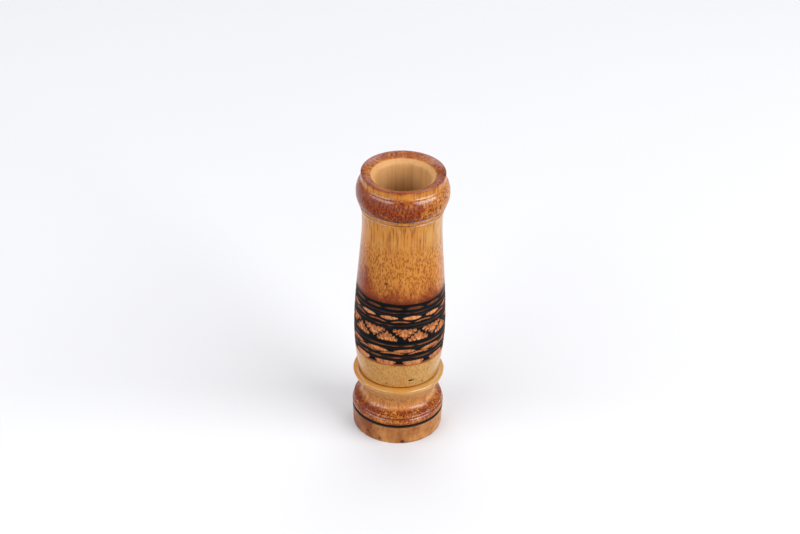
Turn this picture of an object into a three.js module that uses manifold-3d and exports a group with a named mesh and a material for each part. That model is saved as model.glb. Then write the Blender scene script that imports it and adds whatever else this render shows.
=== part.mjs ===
// A turned bamboo duck call, standing on its exhaust end with the mouth end up.
// Millimetres, +Z up along the call's axis, origin at the centre of the base.
import * as THREE from "three";
import { mergeVertices } from "three/addons/utils/BufferGeometryUtils.js";
import Module from "manifold-3d";

const wasm = await Module();
wasm.setup();

// ---- Driving dimensions ----
const SEGMENTS = 40; // sides of every turned piece, the same so that they nest
const GAP = 0.3; // clearance between two pieces that touch

// The barrel: a bamboo tube with a rolled lip at the mouth and a bellied lower half.
const HEIGHT = 130;
const BARREL_Z0 = 29.7;
const BARREL_BORE_R = 12.2;
const BARREL_FOOT_R = 17.8;
const BELLY_R = 20.27;
const BELLY_Z = 54;
const WAIST_R = 17.38;
const WAIST_Z = 105;
const LINE_LOW = { r: 18.1, z: 113.3 }; // lower of the two fine lines under the roll
const LINE_HIGH = { r: 18.95, z: 115.7 }; // upper one
const LINE_DEPTH = 0.35;
const ROLL_CENTRE = { r: 17.2, z: 120.6 }; // the rolled bead at the mouth
const ROLL_OUT = 3.0;
const ROLL_HALF_HEIGHT = 6.0;
const LIP_R = 18.2;
const LIP_Z0 = 125.9;
const DISH = { r: 14.0, depth: 1.65 }; // the rim slopes inwards down to here
const CHAMFER_DEPTH = 3.0; // and from there a steep chamfer runs to the bore

// The collar: a thin loose ring between barrel and stopper.
const COLLAR = { z0: 27.8, z1: 29.4, r: 20.45, foot: 20.1, top: 17.6, bore: 12.1 };

// The stopper: a waisted bamboo shell over a glued base ring, both on a wooden core.
const SHELL = { z0: 9.8, z1: 27.5, bore: 12.0, top: 20.3, waist: 16.05, waistZ: 17.8 };
const RIDGE_LOW = { r: 20.6, z: 11.8 }; // two small ridges at the shell's foot
const VALLEY = { r: 19.75, z: 13.2 };
const RIDGE_HIGH = { r: 19.95, z: 14.1 };
const BASE = { z1: 9.5, bore: 12.0, foot: 20.1, top: 20.5 };

const CORE = { z0: 1.2, z1: 62, r: 11.7 };
const CORK = { z0: 34.3, z1: 53.7, r: 11.95, inner: 10.6 };
const EXHAUST_R = 5.5;
const BELL = { r: 9.0, z1: 9.0 }; // the flared way out at the base
const SOCKET = { z0: 42, r: 8.0 };

// The sounding parts, in the socket of the core.
const BOARD = { z0: 42.3, z1: 102, r: 7.7, face: 0.6, tipFace: 3.2 };
const CURVE_Z0 = 72; // the board's face starts to curve away from the reed here
const TROUGH = { r: 3.0, z1: 95 };
const REED = { z0: 67, z1: 100, width: 10, thickness: 0.4, tipWidth: 8.4 };
const WEDGE = { z0: 52, z1: 72.3 };

// ---- Geometry helpers ----

// A solid for manifold-3d from any closed three.js geometry.
function solid(geometry) {
  const bare = new THREE.BufferGeometry();
  bare.setAttribute("position", geometry.getAttribute("position"));
  if (geometry.index) bare.setIndex(geometry.index);
  const merged = mergeVertices(bare, 1e-4);
  return new wasm.Manifold(
    new wasm.Mesh({
      numProp: 3,
      vertProperties: merged.attributes.position.array,
      triVerts: new Uint32Array(merged.index.array),
    }),
  );
}

// The three.js geometry of a manifold-3d solid.
function geometryOf(body) {
  const mesh = body.getMesh();
  const geometry = new THREE.BufferGeometry();
  const positions = new THREE.BufferAttribute(new Float32Array(mesh.vertProperties), 3);
  geometry.setAttribute("position", positions);
  geometry.setIndex(new THREE.BufferAttribute(new Uint32Array(mesh.triVerts), 1));
  geometry.computeVertexNormals();
  return geometry;
}

// A turned piece: the outline holds (radius, height) points and closes on itself.
function turned(outline) {
  const points = [...outline, outline[0].clone()];
  return new THREE.LatheGeometry(points, SEGMENTS).rotateX(Math.PI / 2);
}

// An outline of straight lines through [radius, height] pairs.
function outlineOf(pairs) {
  return pairs.map(([r, z]) => new THREE.Vector2(r, z));
}

// Points along a Bezier curve, without its first one.
function bezier(from, control1, control2, to, count) {
  const [a, b, c, d] = outlineOf([from, control1, control2, to]);
  return new THREE.CubicBezierCurve(a, b, c, d).getPoints(count).slice(1);
}

// A solid cylinder about a vertical axis at (0, y).
function upright(radius, z0, z1, y = 0) {
  const shape = new THREE.CylinderGeometry(radius, radius, z1 - z0, SEGMENTS);
  return shape.rotateX(Math.PI / 2).translate(0, y, (z0 + z1) / 2);
}

// An outline in the (y, z) plane, given thickness from -width / 2 to width / 2 along X.
function slab(pairs, width) {
  const shape = new THREE.Shape(outlineOf(pairs));
  const geometry = new THREE.ExtrudeGeometry(shape, { depth: width, bevelEnabled: false });
  geometry.applyMatrix4(
    new THREE.Matrix4().makeBasis(
      new THREE.Vector3(0, 1, 0),
      new THREE.Vector3(0, 0, 1),
      new THREE.Vector3(1, 0, 0),
    ),
  );
  return geometry.translate(-width / 2, 0, 0);
}

// ---- The barrel ----

// A fine V cut into the outline at (r, z).
function fineLine({ r, z }) {
  return outlineOf([
    [r, z - LINE_DEPTH / 2],
    [r - LINE_DEPTH, z],
    [r, z + LINE_DEPTH / 2],
  ]);
}

function rolledBead() {
  const low = Math.asin((LINE_HIGH.z + 0.3 - ROLL_CENTRE.z) / ROLL_HALF_HEIGHT);
  const high = Math.asin((LIP_Z0 - ROLL_CENTRE.z) / ROLL_HALF_HEIGHT);
  const { r, z } = ROLL_CENTRE;
  return new THREE.EllipseCurve(r, z, ROLL_OUT, ROLL_HALF_HEIGHT, low, high).getPoints(9);
}

function barrel() {
  const foot = [BARREL_FOOT_R, BARREL_Z0 + 0.3];
  const belly = [BELLY_R, BELLY_Z];
  const waist = [WAIST_R, WAIST_Z];
  return turned([
    ...outlineOf([
      [BARREL_BORE_R, BARREL_Z0],
      [BARREL_FOOT_R - 0.4, BARREL_Z0],
      foot,
    ]),
    ...bezier(foot, [19.1, 36], [BELLY_R, 43.5], belly, 7),
    ...bezier(belly, [BELLY_R, 71], [17.5, 93], waist, 8),
    ...bezier(waist, [WAIST_R, 109], [17.6, 111.8], [LINE_LOW.r, LINE_LOW.z - 0.3], 3),
    ...fineLine(LINE_LOW),
    ...fineLine(LINE_HIGH),
    ...rolledBead(),
    ...outlineOf([
      [LIP_R, LIP_Z0 + 0.3],
      [LIP_R, HEIGHT - 0.8],
      [LIP_R - 0.6, HEIGHT],
      [LIP_R - 1.0, HEIGHT],
      [DISH.r, HEIGHT - DISH.depth],
      [BARREL_BORE_R + 0.3, HEIGHT - CHAMFER_DEPTH],
      [BARREL_BORE_R, HEIGHT - CHAMFER_DEPTH - 0.4],
    ]),
  ]);
}

// ---- The collar ----

function collarRing() {
  const { z0, z1, r, foot, top, bore } = COLLAR;
  return turned([
    ...outlineOf([
      [bore, z0],
      [foot, z0],
    ]),
    ...bezier([foot, z0], [r + 0.15, z0 + 0.2], [r - 0.5, z1], [top, z1], 5),
    new THREE.Vector2(bore, z1),
  ]);
}

// ---- The stopper ----

function stopperShell() {
  const { z0, z1, bore, top, waist, waistZ } = SHELL;
  const edge = [top, z1 - 0.4];
  const neck = [waist, waistZ];
  const flare = [19.3, 14.75];
  const valley = [VALLEY.r, VALLEY.z];
  const crest = [RIDGE_LOW.r, RIDGE_LOW.z];
  return turned([
    ...outlineOf([
      [bore, z1],
      [bore, z0],
      [BASE.top - 0.7, z0],
      [BASE.top - 0.3, z0 + 0.4],
    ]),
    ...outlineOf([crest]),
    ...bezier(crest, [20.6, 12.5], [20.1, 13.0], valley, 2),
    ...outlineOf([
      [RIDGE_HIGH.r, RIDGE_HIGH.z],
      flare,
    ]),
    ...bezier(flare, [18.0, 15.4], [16.15, 16.4], neck, 5),
    ...bezier(neck, [16.5, 20.8], [19.7, 25.2], edge, 7),
    new THREE.Vector2(top - 0.4, z1),
  ]);
}

function baseRing() {
  const { z1, bore, foot, top } = BASE;
  return turned(
    outlineOf([
      [bore, 0],
      [foot - 0.4, 0],
      [foot, 0.4],
      [foot, 3.5],
      [top, z1 - 1.2],
      [top, z1 - 0.4],
      [top - 0.4, z1],
      [bore, z1],
    ]),
  );
}

// The glued wooden core: a bell-mouthed exhaust bore, a socket above it, a rebate for the cork.
function corePlug() {
  const { z0, z1, r } = CORE;
  return turned(
    outlineOf([
      [BELL.r, z0],
      [r, z0],
      [r, CORK.z0 - GAP],
      [CORK.inner - GAP, CORK.z0 - GAP],
      [CORK.inner - GAP, CORK.z1 + GAP],
      [r, CORK.z1 + GAP],
      [r, z1 - 0.8],
      [r - 0.8, z1],
      [SOCKET.r, z1],
      [SOCKET.r, SOCKET.z0],
      [EXHAUST_R, SOCKET.z0],
      [EXHAUST_R, BELL.z1],
    ]),
  );
}

function tenonCork() {
  const { z0, z1, r, inner } = CORK;
  return turned(
    outlineOf([
      [inner, z0],
      [r - 0.3, z0],
      [r, z0 + 0.6],
      [r, z1 - 0.6],
      [r - 0.3, z1],
      [inner, z1],
    ]),
  );
}

// ---- The sounding parts ----

// How far back the board's face lies at a height: flat under the wedge, then a parabola.
function boardFace(z) {
  const along = Math.max(0, (z - CURVE_Z0) / (BOARD.z1 - CURVE_Z0));
  return BOARD.face + (BOARD.tipFace - BOARD.face) * along * along;
}

function toneBoard() {
  const { z0, z1, r } = BOARD;
  const side = [
    [r + 1, z1],
    [r + 1, z0],
    [boardFace(z0), z0],
  ];
  const steps = 10;
  for (let i = 0; i <= steps; i += 1) {
    const z = CURVE_Z0 + ((z1 - CURVE_Z0) * i) / steps;
    side.push([boardFace(z), z]);
  }
  const rod = solid(upright(r, z0 - 1, z1 + 1));
  const trough = solid(upright(TROUGH.r, z0 - 1, TROUGH.z1, BOARD.face));
  return geometryOf(solid(slab(side.reverse(), 2 * r + 2)).intersect(rod).subtract(trough));
}

function reed() {
  const { z0, z1, width, thickness, tipWidth } = REED;
  const outline = outlineOf([
    [-width / 2, z0],
    [width / 2, z0],
    [width / 2, z1 - 4],
    [tipWidth / 2, z1 - 1],
    [tipWidth / 2 - 1.5, z1],
    [1.5 - tipWidth / 2, z1],
    [-tipWidth / 2, z1 - 1],
    [-width / 2, z1 - 4],
  ]);
  const strip = new THREE.ExtrudeGeometry(new THREE.Shape(outline), {
    depth: thickness,
    bevelEnabled: false,
  });
  return strip.rotateX(Math.PI / 2).translate(0, BOARD.face - GAP, 0);
}

function wedgeBlock() {
  const { z0, z1 } = WEDGE;
  const { r } = BOARD;
  const front = BOARD.face - 2 * GAP - REED.thickness;
  const block = slab(
    [
      [-r - 1, z0],
      [front, z0],
      [front, z1],
      [-r + 1.6, z1],
      [-r - 1, z1 - 3],
    ],
    2 * r + 2,
  );
  return geometryOf(solid(block).intersect(solid(upright(r, z0 - 1, z1 + 1))));
}

// ---- Assembly ----

const FINISHES = {
  bamboo: { color: 0xc48a4c, roughness: 0.32, metalness: 0 },
  bareBamboo: { color: 0xa87048, roughness: 0.6, metalness: 0 },
  wood: { color: 0xb98a58, roughness: 0.55, metalness: 0 },
  cork: { color: 0xc79a6a, roughness: 0.9, metalness: 0 },
  cane: { color: 0xdcc48c, roughness: 0.5, metalness: 0 },
};

const duckCall = new THREE.Group();

function addPiece(name, geometry, finish) {
  const mesh = new THREE.Mesh(geometry, new THREE.MeshStandardMaterial(FINISHES[finish]));
  mesh.name = name;
  duckCall.add(mesh);
}

addPiece("barrel", barrel(), "bamboo");
addPiece("collar_ring", collarRing(), "bamboo");
addPiece("stopper_shell", stopperShell(), "bamboo");
addPiece("base_ring", baseRing(), "bareBamboo");
addPiece("core_plug", corePlug(), "wood");
addPiece("tenon_cork", tenonCork(), "cork");
addPiece("tone_board", toneBoard(), "wood");
addPiece("reed", reed(), "cane");
addPiece("wedge_block", wedgeBlock(), "cork");

export default duckCall;
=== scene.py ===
# Looks of a turned bamboo duck call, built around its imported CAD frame.
import math

import bpy
import numpy as np
from mathutils import Matrix, Vector


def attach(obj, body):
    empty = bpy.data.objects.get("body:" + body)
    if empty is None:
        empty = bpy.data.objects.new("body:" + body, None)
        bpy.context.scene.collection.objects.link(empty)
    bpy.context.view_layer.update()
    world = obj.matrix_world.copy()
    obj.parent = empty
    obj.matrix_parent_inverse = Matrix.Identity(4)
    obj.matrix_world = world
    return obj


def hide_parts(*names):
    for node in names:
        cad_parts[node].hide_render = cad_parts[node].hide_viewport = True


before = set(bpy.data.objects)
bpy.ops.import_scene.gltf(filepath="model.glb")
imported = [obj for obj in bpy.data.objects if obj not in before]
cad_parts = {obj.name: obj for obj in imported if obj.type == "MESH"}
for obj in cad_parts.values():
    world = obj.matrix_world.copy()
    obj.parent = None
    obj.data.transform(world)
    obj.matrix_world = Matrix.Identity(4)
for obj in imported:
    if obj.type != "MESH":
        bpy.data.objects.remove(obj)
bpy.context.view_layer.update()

MM = 0.001

# ---- The turned outlines: radii and heights in millimetres ----

HEIGHT = 130.0
BORE_R = 12.2
FOOT_R, FOOT_Z = 17.8, 29.8
BELLY_R, BELLY_Z = 20.27, 54.0
WAIST_R, WAIST_Z = 17.38, 105.0
LINE_LOW = (18.1, 113.3)
LINE_HIGH = (18.95, 115.7)
ROLL_R, ROLL_Z, ROLL_OUT, ROLL_HALF = 17.2, 120.6, 3.0, 6.0
LIP_R, LIP_Z = 18.2, 125.9
STEP_R, STEP_Z = 14.0, 128.35  # the dished rim turns down here

COLLAR_R, COLLAR_FOOT, COLLAR_TOP = 20.4, 27.53, 29.4
SHELL_FOOT, SHELL_TOP = 9.8, 27.5
COVE_R, COVE_Z = 16.05, 18.3
BASE_R, BASE_FOOT_R, BASE_TOP = 20.5, 19.7, 9.5
RING_BORE_R = 12.0  # the hole through the collar, the shell and the base ring

CORE_R, CORE_FOOT, CORE_TOP = 11.7, 1.2, 62.0
EXHAUST_R = 5.5
SOCKET_R, SOCKET_FOOT = 8.0, 42.0
REBATE_R, REBATE_FOOT, REBATE_TOP = 10.3, 34.0, 54.0
CORK_IN, CORK_R, CORK_FOOT, CORK_TOP = 10.6, 11.95, 34.3, 53.7
CORK_SWAY = 0.002  # how far the cork is out of round, as a share of its radius

AROUND = 496  # columns of the carved barrel
AROUND_PLAIN = 288  # columns of the other turned pieces

# ---- The carved band: heights of its burned grooves, top to bottom ----

GROOVES = (71.1, 69.5, 64.75, 63.2, 54.5, 52.6, 48.1, 46.2)
GROOVE_HALF = 0.52
GROOVE_DEPTH = 0.55
BAND_TOP, BAND_FOOT = 76.0, 42.2
PALMETTES = 9  # pairs to a turn

# The cuts of a palmette: middle across and along, half width and half length, as shares of its own
PALMETTE_CUTS = (
    (-0.82, 0.20, 0.17, 0.19), (0.82, 0.20, 0.17, 0.19),
    (-0.62, 0.46, 0.13, 0.14), (0.62, 0.46, 0.13, 0.14),
    (-0.44, 0.26, 0.17, 0.27), (0.44, 0.26, 0.17, 0.27),
    (-0.33, 0.66, 0.12, 0.15), (0.33, 0.66, 0.12, 0.15),
    (0.0, 0.92, 0.13, 0.16),
    (0.0, 0.42, 0.27, 0.41),
)

# ---- How the barrel's look changes with height, as (height, value) stops ----

# The first stops paint the barrel's foot, 29.5 to 29.8 mm, dark red: painted shade in the crevice over the
# collar.
REDNESS = (
    (29.5, 0.8), (29.62, 0.5), (29.8, 0.1), (38, 0.08), (43, 0.16), (44.5, 0.5), (74, 1.0), (79, 0.84),
    (84, 0.66), (92, 0.48), (102, 0.36), (111, 0.34), (112.9, 0.4), (113.3, 0.8), (113.8, 0.42),
    (115.2, 0.5), (115.8, 0.95), (118, 0.9), (121, 0.95), (125.2, 0.9), (126.2, 0.62), (126.6, 0.3),
    (128.8, 0.38), (129.5, 0.85),
)
STREAKS = (
    (30, 0.35), (43, 0.4), (62, 0.6), (76, 0.7), (90, 0.78), (97, 0.85), (102, 0.75), (111, 0.8),
    (113, 0.5), (116, 1.1), (125, 1.2), (126.5, 0.9), (130, 1.0),
)
SHORT_GRAIN = (
    (60, 1.0), (96, 1.0), (102, 0.3), (105, 0.0), (113, 0.0), (117, 0.9), (125.5, 0.9), (126.5, 0.25),
)
NO_SPECKS = -0.5
SPECKS = (
    (76, NO_SPECKS), (80, 0.0), (90, 0.0), (97, NO_SPECKS), (112, NO_SPECKS), (116, 0.15), (118, 0.5),
    (125, 0.5), (127, 0.3),
)

# Blemishes of the bamboo: angle in degrees, height, half width and half height in mm, darkness
MARKS = (
    (17.2, 33.8, 1.2, 0.5, 0.85), (21.5, 34.2, 1.8, 0.25, 0.3), (-16.8, 31.6, 0.45, 0.45, 0.7),
    (35.6, 31.5, 0.8, 0.6, 0.4), (6.0, 38.0, 0.2, 6.0, 0.12), (16.0, 37.0, 3.0, 0.4, 0.08),
    (27.0, 38.6, 3.5, 0.4, 0.07), (11.0, 117.2, 1.2, 0.5, 0.5), (4.0, 116.9, 0.7, 0.45, 0.45),
    (51.5, 126.8, 0.45, 0.5, 0.9), (-120.0, 35.5, 1.0, 0.3, 0.6), (150.0, 37.2, 0.4, 0.5, 0.35),
    (-75.0, 33.0, 0.35, 0.35, 0.35), (100.0, 97.0, 0.5, 0.6, 0.3), (-160.0, 86.0, 0.4, 0.5, 0.4),
    (-46.0, 105.2, 0.9, 1.2, 0.1), (-44.0, 96.5, 0.8, 1.5, 0.1), (-23.0, 91.0, 0.5, 1.6, 0.09),
    (-23.5, 86.5, 0.6, 1.2, 0.08), (-21.5, 80.5, 0.9, 1.0, 0.09),
)

# ---- The sounding parts, in millimetres ----

BOARD_R, BOARD_FACE, BOARD_TIP = 7.7, 0.6, 3.2
BOARD_Z = (42.3, 102.0)
CURVE_Z = 72.0  # the board's face begins to curve away here
TROUGH_R, TROUGH_END, TROUGH_ROUND = 3.0, 95.0, 3.5
REED_Y = (-0.1, 0.3)
REED_Z = (67.0, 100.0)
REED_HALF, REED_TIP_HALF, REED_CORNER = 5.0, 2.8, 4.0
REED_SHAVED, REED_SHAVED_FROM = 0.12, 75.0
WEDGE_Z = (52.0, 72.3)
WEDGE_FACE = -0.4
WEDGE_SLOPE, WEDGE_SLOPE_Z = 2.6, (69.0, 73.2)


# ---------------------------------------------------------------- curves

def bezier(start, control_a, control_b, end, count):
    """Points along a cubic Bezier curve, without its first one."""
    t = np.linspace(0, 1, count + 1)[1:, None]
    a, b, c, d = (np.array(p, float) for p in (start, control_a, control_b, end))
    return (1 - t) ** 3 * a + 3 * (1 - t) ** 2 * t * b + 3 * (1 - t) * t ** 2 * c + t ** 3 * d


def straight(start, end, count):
    """Points along a line, without its first one."""
    t = np.linspace(0, 1, count + 1)[1:, None]
    return np.array(start, float) * (1 - t) + np.array(end, float) * t


def stepped(start, end, shares):
    """Points along a line at given shares of its length."""
    t = np.array(shares)[:, None]
    return np.array(start, float) * (1 - t) + np.array(end, float) * t


def arc(centre, radii, from_deg, to_deg, count):
    """Points along an ellipse's arc, both ends included."""
    angle = np.radians(np.linspace(from_deg, to_deg, count + 1))
    return np.stack([centre[0] + radii[0] * np.cos(angle), centre[1] + radii[1] * np.sin(angle)], 1)


def fine_line(place_on, depth=0.4, half=0.26):
    """A V turned into the outline at a radius and height."""
    r, z = place_on
    return np.array([
        [r + 0.02, z - half - 0.15],
        [r, z - half],
        [r - depth, z - 0.05],
        [r - depth, z + 0.05],
        [r + 0.05, z + half],
        [r + 0.12, z + half + 0.15],
    ])


def smooth(edge_a, edge_b, x):
    """0 before edge_a, 1 after edge_b, with a smooth step between."""
    t = np.clip((x - edge_a) / (edge_b - edge_a), 0, 1)
    return t * t * (3 - 2 * t)


def stops(x, *pairs):
    """A value that runs straight between (x, value) stops."""
    return np.interp(x, [p[0] for p in pairs], [p[1] for p in pairs])


# ---------------------------------------------------------------- meshes

def angles(columns):
    """Angles round the axis: 0 at the front, growing towards +X."""
    return np.arange(columns) * (2 * math.pi / columns) - math.pi


def turned_mesh(name, r, z, theta):
    """A closed ring of quads from grids of radius and height, rows along the closed outline."""
    rows, columns = r.shape
    x = r * np.sin(theta)
    y = -r * np.cos(theta)
    points = np.stack([x, y, z], 2).reshape(-1, 3) * MM
    row = np.arange(rows)[:, None]
    column = np.arange(columns)[None, :]
    next_row = (row + 1) % rows
    next_column = (column + 1) % columns
    quads = np.stack([
        row * columns + column,
        row * columns + next_column,
        next_row * columns + next_column,
        next_row * columns + column,
    ], 2).reshape(-1, 4)
    mesh = bpy.data.meshes.new(name)
    mesh.from_pydata(points.tolist(), [], quads.tolist())
    mesh.validate()
    mesh.shade_smooth()
    return mesh


def paint(mesh, layer, *channels):
    """Stores up to four grids as one colour and alpha per point."""
    flat = [c.reshape(-1) for c in channels]
    while len(flat) < 4:
        flat.append(np.zeros_like(flat[0]))
    attribute = mesh.color_attributes.new(layer, "FLOAT_COLOR", "POINT")
    attribute.data.foreach_set("color", np.stack(flat, 1).reshape(-1).astype(np.float32))


def place(name, mesh, materials, body, node):
    """Makes a piece that stands for a CAD node and rides on its body."""
    piece = bpy.data.objects.new(name, mesh)
    bpy.context.scene.collection.objects.link(piece)
    for material in materials:
        mesh.materials.append(material)
    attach(piece, body)
    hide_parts(node)
    return piece


# ---------------------------------------------------------------- carving

def cells(theta_deg, edges):
    """For each angle, its place from -1 to 1 in the cell between two edges, and the cell's number."""
    edges = np.sort(np.asarray(edges, float) % 360)
    turn = theta_deg % 360
    index = np.searchsorted(edges, turn, side="right") - 1
    low = np.where(index < 0, edges[-1] - 360, edges[index])
    high_index = (index + 1) % len(edges)
    high = edges[high_index] + np.where(index == len(edges) - 1, 360, 0)
    return 2 * (turn - low) / (high - low) - 1, index % len(edges)


def uneven(count, first, wander, rng):
    """Angles of a hand-spaced row, in degrees."""
    return first + np.arange(count) * 360 / count + rng.uniform(-wander, wander, count)


class Carving:
    """Depth in millimetres, burn, bare cut wood and redness over a grid of the band."""

    def __init__(self, theta, z):
        self.theta = np.degrees(theta)
        self.z = z
        self.depth = np.zeros_like(z)
        self.burn = np.zeros_like(z)
        self.cut = np.zeros_like(z)
        self.red = np.zeros_like(z)
        self.rng = np.random.default_rng(7)

    def wobble(self, size):
        """A slow, uneven wave round the call, as a hand leaves it."""
        wave = np.zeros_like(self.z)
        for turns in (2, 3, 5, 9, 17):
            phase = self.rng.uniform(0, 2 * math.pi)
            wave += np.sin(np.radians(self.theta) * turns + phase) / turns ** 0.6
        return wave * size / 2.2

    def char(self, mask):
        self.burn = np.maximum(self.burn, mask)

    def scoop(self, mask, depth, red):
        """Bare wood where the mask is 1, cut to a depth."""
        self.cut = np.maximum(self.cut, mask)
        self.burn = self.burn * (1 - mask)
        self.depth = np.maximum(self.depth, depth * mask)
        self.red = self.red * (1 - mask) + red * mask

    def ground(self):
        """The scorched ground of the band, fading out above and below."""
        z = self.z + self.wobble(0.3)
        self.char(smooth(80.5, 75.0, z) ** 2 * 0.3 * smooth(43.6, 44.2, z))
        self.char(smooth(75.5, 74.0, z) ** 1.5 * smooth(43.3, 43.9, z))
        self.red += smooth(42.2, 42.7, z) * smooth(44.0, 43.4, z)

    def groove(self, height):
        offset = np.abs(self.z - height + self.wobble(0.1))
        self.depth = np.maximum(self.depth, GROOVE_DEPTH * np.clip(1 - offset / GROOVE_HALF, 0, 1))
        near = smooth(0.66, 0.46, offset)
        self.cut *= 1 - near
        self.char(near)

    def strip(self, low, high):
        """The scorched strip between a pair of grooves."""
        inside = smooth(low + 0.4, low + 0.6, self.z) * smooth(high - 0.4, high - 0.6, self.z)
        flecks = 0.5 + 0.5 * np.sin(np.radians(self.theta) * 11 + self.wobble(6))
        self.scoop(inside * (0.45 + 0.4 * flecks), 0.1, 1.3)

    def lenses(self, level, edges, up, down, share, depth, bright, dull, blunt=2.0, clean=1.0, fill=0.0):
        """A row of lens-shaped cuts, their tips at a level, with burned gaps between them.

        They reach up and down in mm, and across a share of their cell. bright and dull are what their
        top and foot add to the redness. clean is how bare they are, fill how bare the gaps under them.
        """
        u, index = cells(self.theta + self.wobble(0.5), edges)
        size = self.rng.uniform(0.88, 1.08, len(edges))[index]
        tone = self.rng.uniform(-0.12, 0.38, len(edges))[index] - 0.12 * u
        body = np.clip(1 - (np.abs(u) / share) ** blunt, 0, 1)
        above = self.z - level
        reach = np.where(above > 0, up, down) * size * body
        inside = smooth(0.02, -0.2, np.abs(above) - reach) * smooth(0, 0.1, body)
        shade = np.clip((above + down) / (up + down), 0, 1)
        hollow = np.sqrt(np.clip(1 - (above / np.maximum(reach, 0.1)) ** 2, 0, 1))
        self.scoop(clean * inside, depth * hollow, tone + bright * shade + dull * (1 - shade) ** 2)
        rest = smooth(0.0, 0.2, down - 0.1 + above) * smooth(0.35, 0.0, above) * (1 - inside)
        self.scoop(fill * rest, 0.05, 1.4)

    def thin_arcs(self, foot, edges, height, share, thick, red):
        """Shallow brown arcs left on the scorched ground."""
        u, _ = cells(self.theta + self.wobble(0.8), edges)
        top = height * np.clip(1 - (u / share) ** 2, 0, 1)
        up = self.z - foot
        line = smooth(top - thick - 0.2, top - thick + 0.1, up) * smooth(top + 0.08, top - 0.12, up)
        self.scoop(0.3 * smooth(-0.1, 0.2, up) * smooth(height + 0.1, height - 0.2, up), 0.05, 1.4)
        self.scoop(0.8 * line * smooth(0, 0.2, up), 0.15, red)

    def palmette(self, centre, start, half_width, height, depth, downwards):
        """A triangle of oval gouge cuts on a bare patch, the largest in the middle."""
        offset = (self.theta - centre + 180) % 360 - 180
        across = np.radians(offset) * BELLY_R
        along = start - self.z if downwards else self.z - start
        edge = height * (1 - (np.abs(across) / half_width) ** 1.1)
        self.scoop(0.8 * smooth(0, 0.25, along) * smooth(edge + 0.2, edge - 0.1, along), 0.1, 1.2)
        for side, reach, half, length in PALMETTE_CUTS:
            middle = half_width * side + self.rng.uniform(-0.12, 0.12)
            centre_along = height * reach * self.rng.uniform(0.96, 1.04)
            lean = 0.25 * side * (along - centre_along)
            distance = np.hypot((across - middle - lean) / (half_width * half),
                                (along - centre_along) / (height * length))
            bowl = np.clip(1 - distance ** 2, 0, 1) * smooth(-0.1, 0.15, along)
            # Each cut is painted redder and darker towards its middle and paler at its rim: painted shade in
            # the hollow, painted highlight on the rim, over a random tone.
            tone = self.rng.uniform(-0.15, 0.1) + 0.7 * smooth(0.4, 0.9, bowl)
            self.scoop(smooth(0.0, 0.22, bowl), 0.1 + depth * bowl ** 0.7, tone)


def carve(theta, z):
    """The whole band, row by row."""
    band = Carving(theta, z)
    rng = band.rng
    band.ground()
    for high, low in zip(GROOVES[0::2], GROOVES[1::2]):
        band.strip(low, high)
    band.lenses(72.1, uneven(13, 6.6, 1.0, rng), up=1.5, down=0.25, share=1.0, depth=0.25,
                bright=0.1, dull=1.2, blunt=3.0, clean=0.6)
    band.lenses(67.9, uneven(12, 1.5, 0.8, rng), up=1.0, down=1.15, share=0.9, depth=0.4,
                bright=-0.05, dull=0.6, fill=0.4)
    band.thin_arcs(65.35, uneven(12, 15.5, 1.2, rng), height=1.25, share=1.0, thick=0.7, red=0.75)
    for index in range(PALMETTES):
        turn = 360 / PALMETTES * index + (rng.uniform(-1.0, 1.0) if index else 0)
        band.palmette(7 + turn, GROOVES[3] - 0.7, half_width=5.6, height=5.2, depth=0.8, downwards=True)
        band.palmette(25.3 + turn, GROOVES[4] + 1.45, half_width=5.0, height=4.9, depth=0.8, downwards=False)
    band.lenses(50.85, uneven(10, -10.5, 0.8, rng), up=1.1, down=1.15, share=0.88, depth=0.4,
                bright=0.0, dull=0.6, fill=0.4)
    band.thin_arcs(48.9, uneven(10, 8.5, 1.2, rng), height=1.5, share=0.95, thick=0.9, red=0.6)
    band.lenses(44.9, uneven(10, 1.0, 0.8, rng), up=0.7, down=2.1, share=0.8, depth=0.25,
                bright=0.25, dull=0.5, blunt=4.0)
    for height in GROOVES:
        band.groove(height)
    return band


# ---------------------------------------------------------------- turned pieces

def barrel_wall():
    """The barrel's outer wall from its foot to the waist.

    Its rows are close together at the dark marks near the foot, and closest in the band.
    """
    foot, belly, waist = (FOOT_R, FOOT_Z), (BELLY_R, BELLY_Z), (WAIST_R, WAIST_Z)
    low = bezier(foot, (19.1, 36), (BELLY_R, 43.5), belly, 400)
    high = bezier(belly, (BELLY_R, 71), (17.5, 93), waist, 400)
    side = np.concatenate([[foot], low, high])
    levels = (FOOT_Z, 30.8, 35.0, BAND_FOOT, BAND_TOP, WAIST_Z)
    steps = (2, 14, 6, 102, 11)
    heights = np.concatenate([
        *(np.linspace(a, b, count, endpoint=False) for a, b, count in zip(levels, levels[1:], steps)),
        [WAIST_Z],
    ])
    return np.stack([np.interp(heights, side[:, 1], side[:, 0]), heights], 1)


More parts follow.
